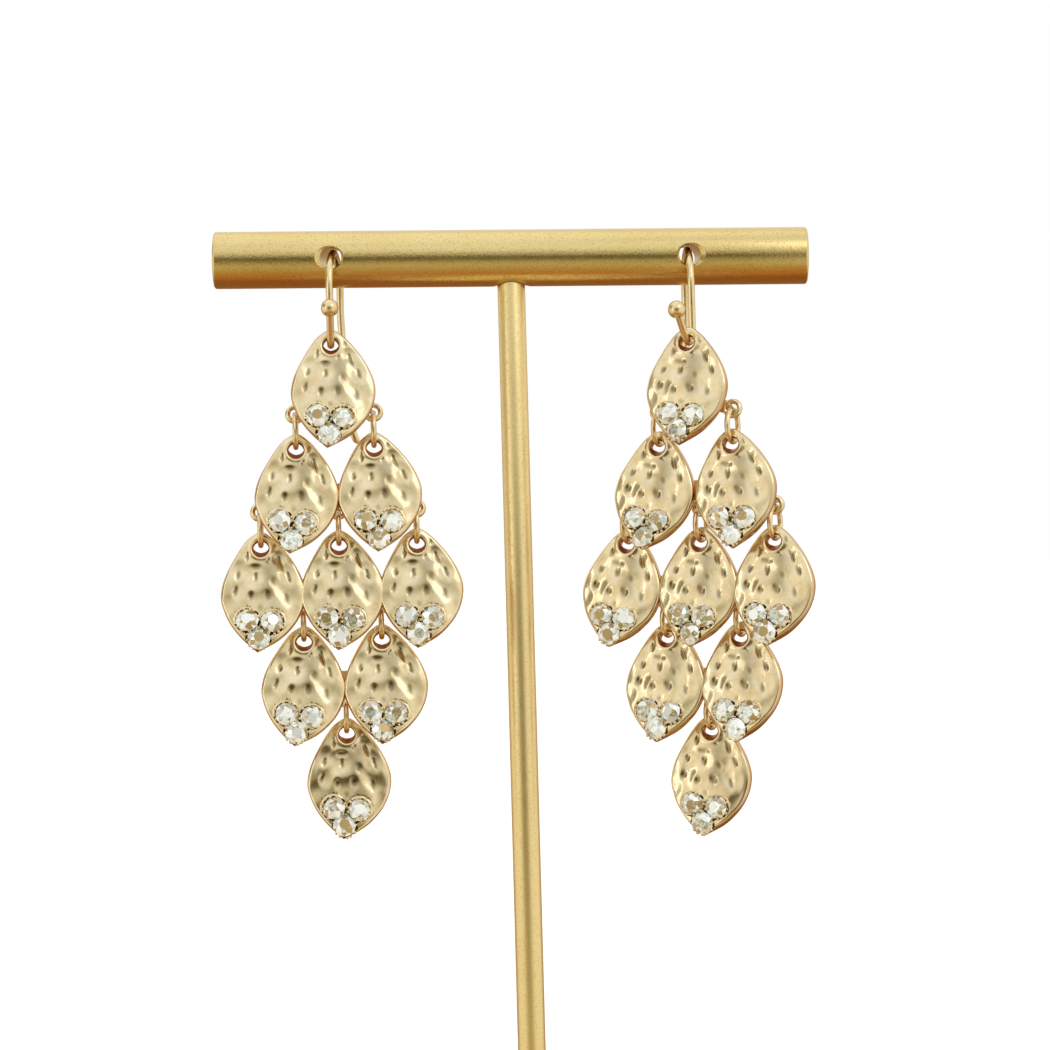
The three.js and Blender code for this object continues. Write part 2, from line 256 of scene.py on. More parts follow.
def plated_metal(name, pale, deep, roughness, patch, grain, grain_depth, speckle):
    """Plated metal: broad patches of a deeper tone, and a fine grain in its tone, gloss and surface."""
    made, finish = material(name)
    patches = finish.noise(patch, 2.0).within(0.35, 0.7)
    fine = finish.noise(grain, 1.0)
    soft = finish.noise(grain * 6, 2.0)
    specks = fine.within(0.52, 0.70) * speckle
    plain = finish.blend(patches, colour(*pale), colour(*deep))
    shade(
        finish,
        Base_Color=finish.blend(specks, plain, colour(0.42, 0.30, 0.10)),
        Metallic=1.0,
        Roughness=roughness + (fine - 0.5) * 0.12 + (soft - 0.5) * 0.10,
        Normal=finish.bump(fine, 1.0, grain_depth),
    )
    return made


def hammered_gold():
    """The leaves' satin champagne gold, with painted shade down in the hammer's strokes and painted orange
    shade at the leaves' edges.
    """
    made, finish = material("satin_champagne_gold")
    patches = finish.noise(1.6, 4.0, 0.65).within(0.35, 0.68)
    fine = finish.noise(0.14, 3.0, 0.6)
    soft = finish.noise(0.9, 2.0)
    # Vertex attribute of painted shade: dark in the hammer strokes, partly dark in the valley between dishes.
    recess = finish.node("ShaderNodeAttribute", {"attribute_name": "recess"}, out="Fac")
    rim = finish.node("ShaderNodeAttribute", {"attribute_name": "rim"}, out="Fac")
    plain = finish.blend(patches, colour(0.93, 0.81, 0.56), colour(0.82, 0.68, 0.43))
    # Painted shade at the leaves' edges: the edge walls are blended toward a deep orange brown, standing for
    # shade and reflected gold.
    painted_edges = finish.blend(rim * 0.75, plain, colour(0.62, 0.34, 0.15))
    shade(
        finish,
        # Painted shade: the colour goes toward a dark olive brown as that attribute rises.
        Base_Color=finish.blend(recess * 0.85, painted_edges, colour(0.22, 0.17, 0.08)),
        Metallic=1.0,
        Roughness=0.18 + (fine - 0.5) * 0.12 + (soft - 0.5) * 0.10,
        Normal=finish.bump(fine, 0.2, 0.02),
    )
    return made


def seat_gold():
    """The cast metal round the stones, rough, with painted shade in the gaps between its lumps."""
    made, finish = material("seat_gold")
    lumps = finish.noise(0.4, 3.0, 0.6)
    # Painted shade: the low places of the lumps, which the bump sinks, are painted a dark brown.
    tone = finish.blend(lumps.within(0.38, 0.58), colour(0.30, 0.17, 0.06), colour(0.84, 0.66, 0.36))
    shade(
        finish,
        Base_Color=tone,
        Metallic=1.0,
        Roughness=0.25 + lumps * 0.2,
        Normal=finish.bump(lumps, 0.6, 0.15),
    )
    return made


def back_bar_shade_casting():
    """The bars behind the leaves: painted shade, their gold made a warmer, duller orange for the shade they
    hang in.
    """
    made, finish = material("painted_shade_casting")
    grain = finish.noise(0.3, 3.0, 0.6)
    # Painted shade: both tones are warm orange golds, darker than the leaves'.
    tone = finish.blend(grain.within(0.4, 0.6), colour(0.80, 0.52, 0.27), colour(0.72, 0.42, 0.19))
    shade(finish, Base_Color=tone, Metallic=1.0, Roughness=0.34 + grain * 0.12)
    return made


def bore_painted_shade():
    """Painted shade inside the leaves' bores: a dark copper brown standing for the shadow down in them."""
    made, finish = material("bore_painted_shade")
    mottle = finish.noise(0.6, 2.0).within(0.4, 0.6)
    tone = finish.blend(mottle, colour(0.46, 0.19, 0.07), colour(0.66, 0.32, 0.13))
    shade(finish, Base_Color=tone, Metallic=1.0, Roughness=0.4)
    return made


def crystal():
    """Foiled crystal with painted reflections: every facet painted its own tone, from white through pale grey
    blue to champagne gold.
    """
    made, finish = material("foiled_crystal")
    fire = finish.node("ShaderNodeAttribute", {"attribute_name": "fire"}, out="Fac")
    speck = finish.noise(0.4, 3.0, 0.65)
    broken = fire + (speck - 0.5) * 0.9
    # Painted reflections: each facet's value picks white, pale grey blue or champagne gold.
    tone = finish.blend(broken.within(0.55, 0.62), colour(0.95, 0.99, 0.98), colour(0.60, 0.67, 0.62))
    tone = finish.blend(broken.within(0.76, 0.82), tone, colour(0.44, 0.31, 0.12))
    shade(
        finish,
        Base_Color=tone,
        Metallic=0.4,
        Roughness=0.05 + speck * 0.08,
        Coat_Weight=1.0,
        Coat_Roughness=0.02,
    )
    return made


WIRE_GOLD = plated_metal(
    "polished_wire_gold", (0.90, 0.76, 0.49), (0.87, 0.70, 0.42), 0.24, 2.5, 0.30, 0.004, 0.05
)
STAND_GOLD = plated_metal(
    "blasted_stand_gold", (0.83, 0.67, 0.32), (0.80, 0.63, 0.28), 0.24, 9.0, 0.25, 0.018, 0.35
)
POST_GOLD = plated_metal(
    "blasted_post_gold", (0.94, 0.78, 0.41), (0.92, 0.75, 0.38), 0.36, 9.0, 0.25, 0.018, 0.25
)
PLAQUE_GOLD = hammered_gold()
SEAT_GOLD = seat_gold()
BORE_PAINTED_SHADE = bore_painted_shade()
BACK_BAR_SHADE_CASTING = back_bar_shade_casting()
CRYSTAL = crystal()


# ---------------------------------------------------------------- making shapes

def smooth_line(points, steps):
    """A Catmull-Rom line through the points."""
    made = []
    for i in range(len(points) - 1):
        a, b = points[max(i - 1, 0)], points[i]
        c, d = points[i + 1], points[min(i + 2, len(points) - 1)]
        for k in range(steps):
            t = k / steps
            made.append(
                0.5 * ((2 * b) + (c - a) * t + (2 * a - 5 * b + 4 * c - d) * t * t
                       + (3 * b - a - 3 * c + d) * t * t * t)
            )
    made.append(points[-1])
    return made


def evenly(points, count):
    """count points at equal steps along an open line, both ends included."""
    lengths = [0.0]
    for a, b in zip(points, points[1:]):
        lengths.append(lengths[-1] + (b - a).length)
    made = []
    span = 0
    for k in range(count):
        want = lengths[-1] * k / (count - 1)
        while span < len(points) - 2 and lengths[span + 1] < want:
            span += 1
        gap = lengths[span + 1] - lengths[span]
        made.append(points[span].lerp(points[span + 1], (want - lengths[span]) / gap))
    return made


def smooth_step(value, low, high):
    t = min(max((value - low) / (high - low), 0.0), 1.0)
    return t * t * (3 - 2 * t)


def new_verts(made):
    return [item for item in made if isinstance(item, bmesh.types.BMVert)]


def new_edges(made):
    verts = set(new_verts(made))
    edges = [item for item in made if isinstance(item, bmesh.types.BMEdge)]
    return [edge for edge in edges if all(v in verts for v in edge.verts)]


def sweep(bm, stations, radius, sides):
    """A round rod through the stations, each a matrix whose Z is along the rod."""
    first = bmesh.ops.create_circle(
        bm, cap_ends=True, segments=sides, radius=radius, matrix=stations[0]
    )["verts"]
    ends = set(first)
    edges = [edge for edge in bm.edges if edge.verts[0] in ends and edge.verts[1] in ends]
    for before, after in zip(stations, stations[1:]):
        made = bmesh.ops.extrude_edge_only(bm, edges=edges)["geom"]
        bmesh.ops.transform(bm, matrix=after @ before.inverted(), verts=new_verts(made))
        edges = new_edges(made)
    bmesh.ops.edgeloop_fill(bm, edges=edges)


def stations_along(route, scales=None):
    """Frames along a route that turn as little as they can from one to the next."""
    ways = []
    for i in range(len(route)):
        ways.append((route[min(i + 1, len(route) - 1)] - route[max(i - 1, 0)]).normalized())
    turn = UP.rotation_difference(ways[0])
    made = []
    for i, (point, way) in enumerate(zip(route, ways)):
        if i:
            turn = ways[i - 1].rotation_difference(way) @ turn
        size = scales[i] if scales else 1.0
        made.append(Matrix.Translation(point) @ turn.to_matrix().to_4x4() @ Matrix.Scale(size, 4))
    return made


def spun(bm, profile, axis, centre, steps, closed=False):
    """Turns a profile of points once round an axis. An open profile starts and ends on the axis."""
    verts = [bm.verts.new(point) for point in profile]
    pairs = list(zip(verts, verts[1:]))
    if closed:
        pairs.append((verts[-1], verts[0]))
    edges = [bm.edges.new(pair) for pair in pairs]
    bmesh.ops.spin(
        bm,
        geom=verts + edges,
        cent=centre,
        axis=axis,
        angle=2 * math.pi,
        steps=steps,
        use_merge=True,
        use_duplicate=False,
    )


def tidy_solid(bm, reach=0.002):
    bmesh.ops.remove_doubles(bm, verts=bm.verts, dist=reach)
    bmesh.ops.recalc_face_normals(bm, faces=bm.faces)


def round_section(radius, centre, wide, tall, count):
    """Points of an ellipse in the plane of two ways."""
    return [
        centre
        + wide * (radius * math.cos(2 * math.pi * i / count))
        + tall * (radius * math.sin(2 * math.pi * i / count))
        for i in range(count)
    ]


def piece(name, bm, body, nodes, finishes, crease=35.0):
    """Makes the finished object in metres, riding on its body in place of its plain nodes."""
    bm.transform(Matrix.Scale(MM, 4))
    for face in bm.faces:
        face.smooth = True
    for edge in bm.edges:
        if len(edge.link_faces) == 2 and edge.calc_face_angle(0.0) > math.radians(crease):
            edge.smooth = False
    mesh = bpy.data.meshes.new(name)
    bm.to_mesh(mesh)
    bm.free()
    for finish in finishes:
        mesh.materials.append(finish)
    made = bpy.data.objects.new(name, mesh)
    bpy.context.scene.collection.objects.link(made)
    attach(made, body)
    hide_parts(*nodes)


def mesh_of(bm, name):
    mesh = bpy.data.meshes.new(name)
    bm.to_mesh(mesh)
    bm.free()
    return mesh


def add_mesh(bm, mesh, matrix, material_step=0):
    """Adds a copy of a mesh to bm, placed by the matrix."""
    before = len(bm.verts)
    faces_before = len(bm.faces)
    bm.from_mesh(mesh)
    bm.verts.ensure_lookup_table()
    bm.faces.ensure_lookup_table()
    bmesh.ops.transform(bm, matrix=matrix, verts=bm.verts[before:])
    if material_step:
        for face in bm.faces[faces_before:]:
            face.material_index += material_step


# ---------------------------------------------------------------- stand

def bar_height_at(x):
    return BAR_HEIGHT - x * math.tan(math.radians(BAR_LEAN))


def cut_away(target, cutters):
    """Cuts the cutters' shapes out of an object's mesh."""
    for cutter in cutters:
        modifier = target.modifiers.new("cut", "BOOLEAN")
        modifier.operation = "DIFFERENCE"
        modifier.solver = "EXACT"
        modifier.object = cutter
    depsgraph = bpy.context.evaluated_depsgraph_get()
    cut = bpy.data.meshes.new_from_object(target.evaluated_get(depsgraph))
    target.modifiers.clear()
    return cut


def loose_object(bm, name):
    made = bpy.data.objects.new(name, mesh_of(bm, name))
    bpy.context.scene.collection.objects.link(made)
    return made


def rounded_rod(bm, half, radius, edge, axis, steps, round_steps=4):
    """A rod about the axis through the origin, with rounded ends."""
    across = UP if abs(axis.z) < 0.5 else RIGHT
    profile = [axis * -half]
    for end in (-1, 1):
        for k in range(round_steps + 1)[::-end]:
            turn = math.pi / 2 * k / round_steps
            along = half - edge * (1 - math.cos(turn))
            out = radius - edge * (1 - math.sin(turn))
            profile.append(axis * (end * along) + across * out)
    profile.append(axis * half)
    spun(bm, profile, axis, (0, 0, 0), steps)
    tidy_solid(bm)


def make_bar():
    body = bmesh.new()
    rounded_rod(body, BAR_LENGTH / 2, BAR_RADIUS, BAR_EDGE, RIGHT, 128)
    rod = loose_object(body, "bar_blank")
    cutters = []
    reach = 3 * BAR_RADIUS
    mouth = HOLE_MOUTH - HOLE_RADIUS
    for ear in EARRINGS.values():
        bore = bmesh.new()
        profile = [
            BACK * -reach,
            BACK * -reach + RIGHT * (HOLE_MOUTH + reach - BAR_RADIUS),
            BACK * (mouth - BAR_RADIUS) + RIGHT * HOLE_RADIUS,
            BACK * (BAR_RADIUS - mouth) + RIGHT * HOLE_RADIUS,
            BACK * reach + RIGHT * (HOLE_MOUTH + reach - BAR_RADIUS),
            BACK * reach,
        ]
        spun(bore, profile, BACK, (0, 0, 0), 40)
        tidy_solid(bore)
        turn = Matrix.Rotation(math.radians(-ear["bore_yaw"]), 4, "Z")
        bore.transform(Matrix.Translation((ear["hole_x"], 0, 0)) @ turn)
        cutters.append(loose_object(bore, "bore_cutter"))
    socket = bmesh.new()
    profile = [
        UP * (-BAR_RADIUS - 2),
        UP * (-BAR_RADIUS - 2) + RIGHT * (SOCKET_MOUTH + 1.5),
        UP * (-BAR_RADIUS + 0.45) + RIGHT * SOCKET_RADIUS,
        UP * (BAR_SOCKET - BAR_RADIUS) + RIGHT * SOCKET_RADIUS,
        UP * (BAR_SOCKET - BAR_RADIUS),
    ]
    spun(socket, profile, UP, (0, 0, 0), 40)
    tidy_solid(socket)
    socket.transform(Matrix.Rotation(math.radians(-BAR_LEAN), 4, "Y"))
    cutters.append(loose_object(socket, "socket_cutter"))
    cut = cut_away(rod, cutters)
    for spare in [rod, *cutters]:
        bpy.data.objects.remove(spare)
    bar = bmesh.new()
    lean = Matrix.Translation((0, 0, BAR_HEIGHT)) @ Matrix.Rotation(math.radians(BAR_LEAN), 4, "Y")
    add_mesh(bar, cut, lean)
    piece("stand_cross_bar", bar, STAND_BODY, ["stand_bar"], [STAND_GOLD])


def make_post():
    bm = bmesh.new()
    low = FOOT_HEIGHT - POST_IN_FOOT
    high = BAR_HEIGHT - BAR_RADIUS + POST_IN_BAR
    rounded_rod(bm, (high - low) / 2, POST_RADIUS, 0.1, UP, 64, 2)
    bm.transform(Matrix.Translation((0, 0, (high + low) / 2)))
    piece("stand_upright", bm, STAND_BODY, ["stand_post"], [POST_GOLD])


def make_foot():
    bm = bmesh.new()
    profile = [Vector((0, 0, 0)), RIGHT * (FOOT_RADIUS - 0.3), RIGHT * FOOT_RADIUS + UP * 0.3]
    for k in range(7):
        turn = math.pi / 2 * k / 6
        profile.append(
            RIGHT * (FOOT_RADIUS - FOOT_ROUND * (1 - math.cos(turn)))
            + UP * (FOOT_HEIGHT - FOOT_ROUND * (1 - math.sin(turn)))
        )
    profile += [
        RIGHT * (SOCKET_RADIUS + 0.2) + UP * FOOT_HEIGHT,
        RIGHT * SOCKET_RADIUS + UP * (FOOT_HEIGHT - 0.2),
        RIGHT * SOCKET_RADIUS + UP * (FOOT_HEIGHT - FOOT_SOCKET),
        UP * (FOOT_HEIGHT - FOOT_SOCKET),
    ]
    spun(bm, profile, UP, (0, 0, 0), 128)
    tidy_solid(bm)
    piece("stand_round_foot", bm, STAND_BODY, ["stand_base"], [STAND_GOLD])


# ---------------------------------------------------------------- ear wires

def ear_wire_route(ear):
    """The wire's middle from the tail's end to the ball, and the ball's middle."""
    arch, yaw = math.radians(ear["arch_yaw"]), math.radians(ear["yaw"])
    back = Vector((math.sin(arch), math.cos(arch), 0))
    front = Vector((math.sin(yaw), -math.cos(yaw), 0))
    hole = Vector((ear["hole_x"], 0, bar_height_at(ear["hole_x"])))
    tail = hole + back * ARCH_RADIUS
    kick = RIGHT * ear["tail_kick"]
    arch_middle = ARCH_CROWN - ARCH_RADIUS
    route = [
        tail - UP * TAIL_DROP + back * TAIL_KICK_BACK + kick,
        tail - UP * (TAIL_DROP - 2.2) + back * 0.2 + kick * 0.6,
        tail - UP * (TAIL_DROP - 8) + kick * 0.25,
        tail + UP * (arch_middle - 3.5),
    ]
    arch_steps, bend_steps = 12, 8
    for i in range(arch_steps + 1):
        turn = math.pi * i / arch_steps
        along, rise = ARCH_RADIUS * math.cos(turn), ARCH_RADIUS * math.sin(turn)
        route.append(hole + back * along + UP * (arch_middle + rise))
    leg = hole - back * ARCH_RADIUS
    route.append(leg - UP * (HINGE_DROP - 3))
    end = math.radians(ear["bend_end"])
    for i in range(bend_steps + 1):
        turn = end * i / bend_steps
        across, fall = BEND_RADIUS * (1 - math.cos(turn)), BEND_RADIUS * math.sin(turn)
        route.append(leg + front * across - UP * (HINGE_DROP + fall))
    ball = route[-1] + (front * math.sin(end) - UP * math.cos(end)) * ear["stem"]
    route += [route[-1].lerp(ball, 0.5), ball]
    return route, ball


def make_ear_wire(side, ear):
    bm = bmesh.new()
    route, ball = ear_wire_route(ear)
    line = evenly(smooth_line(route, 10), WIRE_STATIONS)
    tip = [0.35, 0.72, 0.92]
    sweep(bm, stations_along(line, tip + [1.0] * (len(line) - len(tip))), WIRE_RADIUS, WIRE_SIDES)
    bmesh.ops.create_uvsphere(
        bm, u_segments=36, v_segments=24, radius=BALL_RADIUS, matrix=Matrix.Translation(ball)
    )
    bmesh.ops.recalc_face_normals(bm, faces=bm.faces)
    piece(f"{side}_ear_wire", bm, STAND_BODY, [f"{side}_ear_hook"], [WIRE_GOLD])


# ---------------------------------------------------------------- hammered leaves

def stone_distance(x, z):
    return min(math.hypot(x - a, z - b) for a, b in STONE_PLACES)


def dished(x, z, marks):
    """How deep the marks are at a place, each one smooth from its middle out."""
    depth = 0.0
    for mid_x, mid_z, half_x, half_z, turn, mark_depth in marks:
        c, s = math.cos(math.radians(turn)), math.sin(math.radians(turn))
        across, along = (x - mid_x) * c - (z - mid_z) * s, (x - mid_x) * s + (z - mid_z) * c
        far = math.hypot(across / half_x, along / half_z) / 1.35
        if far < 1:
            depth += mark_depth * (1 - far * far) ** 1.6
    return depth


def hammered(x, z):
    """Height of the leaf's face from its hammer marks and its gentle waviness."""
    wave = 0.05 * math.sin(1.25 * x + 0.7 * z) * math.sin(0.9 * z - 0.4 * x + 1)
    return wave - 1.7 * dished(x, z, DISHES) - 1.35 * dished(x, z, STROKES)


def painted_shade_amount(x, z):
    """How much painted shade a place gets: fully in the strokes, partly in the valley between dishes down the
    leaf's middle.
    """
    stroke = min(dished(x, z, STROKES) / 0.08, 1.0)
    valley = 1 - smooth_step(dished(x, z, DISHES), 0.02, 0.11)
    middle = math.exp(-((x - 1.25) / 1.2) ** 2) * smooth_step(-z, 0.9, 2.0) * smooth_step(z, -8.0, -6.0)
    return max(stroke, 0.62 * valley * middle)


def edge_fall(distance, radius):
    """How far a rounded edge has fallen away at that distance in from it."""
    if distance >= radius:
        return 0.0
    return radius - math.sqrt(radius * radius - (radius - distance) ** 2)


def leaf_front(x, z, from_edge, from_bore):
    """How far the face stands in front of the leaf's middle plane."""
    dome = DOME_RISE * (1 - ((x - DOME_MIDDLE) / DOME_HALF_WIDTH) ** 2) * smooth_step(-z, 0.5, 6.0)
    rim = 0.10 * math.exp(-((from_bore - 0.35) / 0.25) ** 2)
    away = smooth_step(from_bore, 0.3, 0.9)
    pocket = smooth_step(SEAT_RADIUS - stone_distance(x, z), 0.0, 0.22) * smooth_step(from_edge, 0.08, 0.3)
    marks = hammered(x, z) * away * (1 - pocket)
    face = LEAF_THICKNESS / 2 + dome + rim + marks - SEAT_DEPTH * pocket
    sunk = 1.2 * max(LEAF_BORE - math.hypot(x, z), 0.0)
    return face - edge_fall(from_edge, EDGE_ROUND) - edge_fall(from_bore, BORE_ROUND) - sunk


def leaf_back(x, z, from_edge, from_bore):
    """How far the back stands behind the leaf's middle plane: the cup under the stones stands proud."""
    under_stones = smooth_step(CUP_RADIUS - stone_distance(x, z), 0.0, 1.1)
    cup = CUP_HEIGHT * under_stones * smooth_step(from_edge, 0.1, 0.8)
    return LEAF_THICKNESS / 2 + cup - edge_fall(from_edge, EDGE_ROUND) - edge_fall(from_bore, BORE_ROUND)


def leaf_outline(count):
    left_up = [(left, z) for z, left, right in reversed(LEAF_EDGES)]
    right_down = [(right, z) for z, left, right in LEAF_EDGES]
    points = [Vector((x, 0, z)) for x, z in [LEAF_TIP, *left_up, LEAF_TOP, *right_down, LEAF_TIP]]
    return evenly(smooth_line(points, 16), count + 1)[:-1]


def leaf_mesh(spokes=132, rings=58):
    """One hammered leaf: rings of faces from the bore out to the edge, then a front and a back."""
    bm = bmesh.new()
    reach = bm.verts.layers.float.new("reach")
    recess = bm.verts.layers.float.new("recess")
    rim = bm.verts.layers.float.new("rim")
    edge_points = leaf_outline(spokes * 12)
    near_edge = KDTree(len(edge_points))
    for i, point in enumerate(edge_points):
        near_edge.insert(point, i)
    near_edge.balance()
    loop = []
    for point in edge_points[::12]:
        way = point.normalized()
        vert = bm.verts.new(way * LEAF_BORE * (1 - 0.55 * smooth_step(-way.z, -0.2, 1.0)))
        vert[reach] = point.length
        loop.append(vert)
    edges = [bm.edges.new((loop[i], loop[(i + 1) % spokes])) for i in range(spokes)]
    for ring in range(1, rings + 1):
        t = ring / rings
        t -= 0.5 * math.sin(2 * math.pi * t) / (2 * math.pi)
        made = bmesh.ops.extrude_edge_only(bm, edges=edges)["geom"]
        edges = new_edges(made)
        for vert in new_verts(made):
            out = LEAF_BORE + (vert[reach] - LEAF_BORE) * t if ring > 1 else LEAF_BORE
            vert.co = vert.co.normalized() * out
    fronts = list(bm.verts)
    made = bmesh.ops.extrude_face_region(bm, geom=bm.faces[:])["geom"]
    for verts, height, side in [(fronts, leaf_front, -1), (new_verts(made), leaf_back, 1)]:
        for vert in verts:
            from_edge = near_edge.find(vert.co)[2]
            from_bore = max(vert.co.length - LEAF_BORE, 0.0)
            # The rim attribute marks the edge walls for their painted orange shade.
            vert[rim] = 1 - smooth_step(from_edge, 0.02, 0.24)
            if side < 0:
                # Painted shade from the strokes and the middle valley, kept off the bore's surround.
                vert[recess] = painted_shade_amount(vert.co.x, vert.co.z) * smooth_step(from_bore, 0.3, 0.7)
            vert.co.y = side * height(vert.co.x, vert.co.z, from_edge, from_bore)
    bm.verts.layers.float.remove(reach)
    bmesh.ops.recalc_face_normals(bm, faces=bm.faces)
    for face in bm.faces:
        middle = face.calc_center_median()
        if face.normal.y < 0.2 and stone_distance(middle.x, middle.z) < 1.56:
            face.material_index = 1
        # The bore's walls and surround take the bore's painted shade.
        if math.hypot(middle.x, middle.z) < LEAF_BORE + 0.13:
            face.material_index = 2
    add_seat_trim(bm)
    return mesh_of(bm, "leaf")


def add_seat_trim(bm):
    """The thin raised walls over the two upper stones, and the little grains of metal round all three."""
    face = -LEAF_THICKNESS / 2 - 0.40
    chance = random.Random("grains")
    for (x, z), start, stop in [(STONE_PLACES[0], 50, 200), (STONE_PLACES[1], -20, 130)]:
        arc = []
        for i in range(25):
            turn = math.radians(start + (stop - start) * i / 24)
            arc.append(Vector((x + SEAT_RADIUS * math.cos(turn), face, z + SEAT_RADIUS * math.sin(turn))))
        sweep(bm, stations_along(arc), 0.17, 8)
    for x, z in STONE_PLACES:
        for k in range(13):
            turn = 2 * math.pi * (k + chance.uniform(-0.3, 0.3)) / 13
            out = GIRDLE_RADIUS + chance.uniform(-0.05, 0.08)
            place = (x + out * math.cos(turn), z + out * math.sin(turn))
            if stone_distance(*place) < 1.40:
                continue
            middle = Matrix.Translation((place[0], face - chance.uniform(0, 0.15), place[1]))
            bmesh.ops.create_icosphere(bm, subdivisions=2, radius=chance.uniform(0.16, 0.25), matrix=middle)
    bmesh.ops.recalc_face_normals(bm, faces=bm.faces)


def row_places(leaves):
    return [(2 * i - (leaves - 1)) * HALF_PITCH for i in range(leaves)]


def eyelet_wall_drop():
    return (EYELET_OUTER + EYELET_BORE) / 2


def eyelet_drop(row, following):
    """How far down the leaf the eyelets are, so that the next row hangs at its pitch."""
    leaves, pitch, tilt, back = row
    tilt, next_tilt = math.radians(tilt), math.radians(following[2])
    fall = pitch - RING_BELOW_EYELET - RING_ABOVE_RIM - RIM_DROP * math.cos(next_tilt)
    return (fall - back * math.sin(tilt)) / math.cos(tilt) - eyelet_wall_drop()


def add_plate(bm, outline, middle_y, thickness, soften):
    """A flat plate of that outline, its edges softened."""
    corners = [bm.verts.new((x, middle_y - thickness / 2, z)) for x, z in outline]
    face = bm.faces.new(corners)
    made = bmesh.ops.extrude_face_region(bm, geom=[face])["geom"]
    moved = new_verts(made)
    bmesh.ops.translate(bm, vec=(0, thickness, 0), verts=moved)
    own = set(corners) | set(moved)
    edges = [edge for edge in bm.edges if edge.verts[0] in own and edge.verts[1] in own]
    bmesh.ops.bevel(
        bm, geom=edges, offset=soften, segments=3, profile=0.5, affect="EDGES", material=-1,
        clamp_overlap=True,
    )


def add_back_bar(bm, leaves, back, places):
    """The cast bar behind a row: an anchor behind a single leaf, a plain bar behind several."""
    first, last = places[0], places[-1]
    foot = first[1] + 0.3
    if leaves == 1:
        outline = [
            (-1.3, -3.6), (1.3, -3.6), (1.75, -5.0), (2.7, foot + 1.5),
            (last[0] - 0.6, foot + 0.7), (last[0], foot), (last[0] - 0.9, foot - 0.9),
            (2.4, -7.9), (0.9, -7.4), (-0.9, -7.4), (-2.4, -7.9),
            (first[0] + 0.9, foot - 0.9), (first[0], foot), (first[0] + 0.6, foot + 0.7),
            (-2.7, foot + 1.5), (-1.75, -5.0),
        ]
    else:
        shoulder = (leaves - 1) * HALF_PITCH + 1.2
        outline = [
            (first[0] - 0.6, foot), (last[0] + 0.6, foot), (shoulder, foot + 2.6),
            (shoulder - 0.8, foot + 3.2), (0.8 - shoulder, foot + 3.2), (-shoulder, foot + 2.6),
        ]
    add_plate(bm, outline, back, BACK_BAR, 0.22)
    for face in bm.faces:
        face.material_index = 3
    for x, z in places:
        middle = Vector((x, back, z))
        section = round_section(
            1.0, middle + RIGHT * eyelet_wall_drop(), RIGHT * 0.34, BACK * (BACK_BAR / 2 + 0.04), 12
        )
        spun(bm, section, BACK, middle, 40, closed=True)
    tidy_solid(bm)


def add_pad(bm, back, matrix):
    """The solder pad between a leaf's back and the back bar."""
    depth = back - LEAF_THICKNESS / 2
    block = bmesh.new()
    size = Matrix.Diagonal((3.2, depth, 2.4, 1))
    middle = Matrix.Translation((0, LEAF_THICKNESS / 2 - 0.1 + depth / 2, -5.6))
    bmesh.ops.create_cube(block, size=1.0, matrix=middle @ size)
    bmesh.ops.bevel(
        block, geom=block.edges[:], offset=0.3, segments=3, profile=0.5, affect="EDGES", material=-1,
        clamp_overlap=True,
    )
    add_mesh(bm, mesh_of(block, "pad"), matrix, 3)


# ---------------------------------------------------------------- stones

def add_stone(bm, matrix, chance):
    """A brilliant-cut stone about +Z, its girdle at 0, a little uneven and every facet with its own painted
    reflection tone.
    """
    levels = [
        # radius, height, sides, turned by half a side
        (0.70, 0.80, 8, False),
        (1.12, 0.52, 8, True),
        (GIRDLE_RADIUS, 0.12, 16, False),
        (GIRDLE_RADIUS, 0.00, 16, False),
        (0.70, -0.50, 8, True),
    ]
    stone = bmesh.new()
    fire = stone.faces.layers.float.new("fire")
    golden = chance.random() < 0.42
    for radius, height, sides, half in levels:
        for i in range(sides):
            turn = 2 * math.pi * (i + (0.5 if half else 0) + chance.uniform(-0.07, 0.07)) / sides
            out = radius * chance.uniform(0.97, 1.02)
            up = height + chance.uniform(-0.015, 0.015)
            stone.verts.new((out * math.cos(turn), out * math.sin(turn), up))
    bmesh.ops.convex_hull(stone, input=stone.verts)
    bmesh.ops.dissolve_limit(stone, angle_limit=math.radians(5), verts=stone.verts, edges=stone.edges)
    bmesh.ops.recalc_face_normals(stone, faces=stone.faces)
    # Painted reflections: a golden stone's table gets high values, painted champagne gold; other facets get
    # random ones.
    table_glint = (0.75, 1.0) if golden else (0.1, 0.6)
    for face in stone.faces:
        table = face.normal.z > 0.95
        face[fire] = chance.uniform(*table_glint) if table else chance.random()
    add_mesh(bm, mesh_of(stone, "stone"), matrix)


def make_stones(name, matrix, body, node, chance):
    bm = bmesh.new()
    bm.faces.layers.float.new("fire")
    face_out = Matrix.Rotation(math.pi / 2, 4, "X")
    for x, z in STONE_PLACES:
        spin = Matrix.Rotation(chance.uniform(0, math.pi), 4, "Z")
        tip = Matrix.Rotation(math.radians(chance.uniform(-STONE_TILT, STONE_TILT)), 4, "X")
        roll = Matrix.Rotation(math.radians(chance.uniform(-STONE_TILT, STONE_TILT)), 4, "Z")
        height = -LEAF_THICKNESS / 2 - STONE_RISE - chance.uniform(0.1, 0.3)
        shift = chance.uniform(-STONE_SHIFT, STONE_SHIFT)
        place = Matrix.Translation((x + shift, height, z - shift))
        add_stone(bm, matrix @ place @ roll @ tip @ face_out @ spin, chance)
    piece(name, bm, body, [node], [CRYSTAL], crease=1.0)


# ---------------------------------------------------------------- the hanging drops

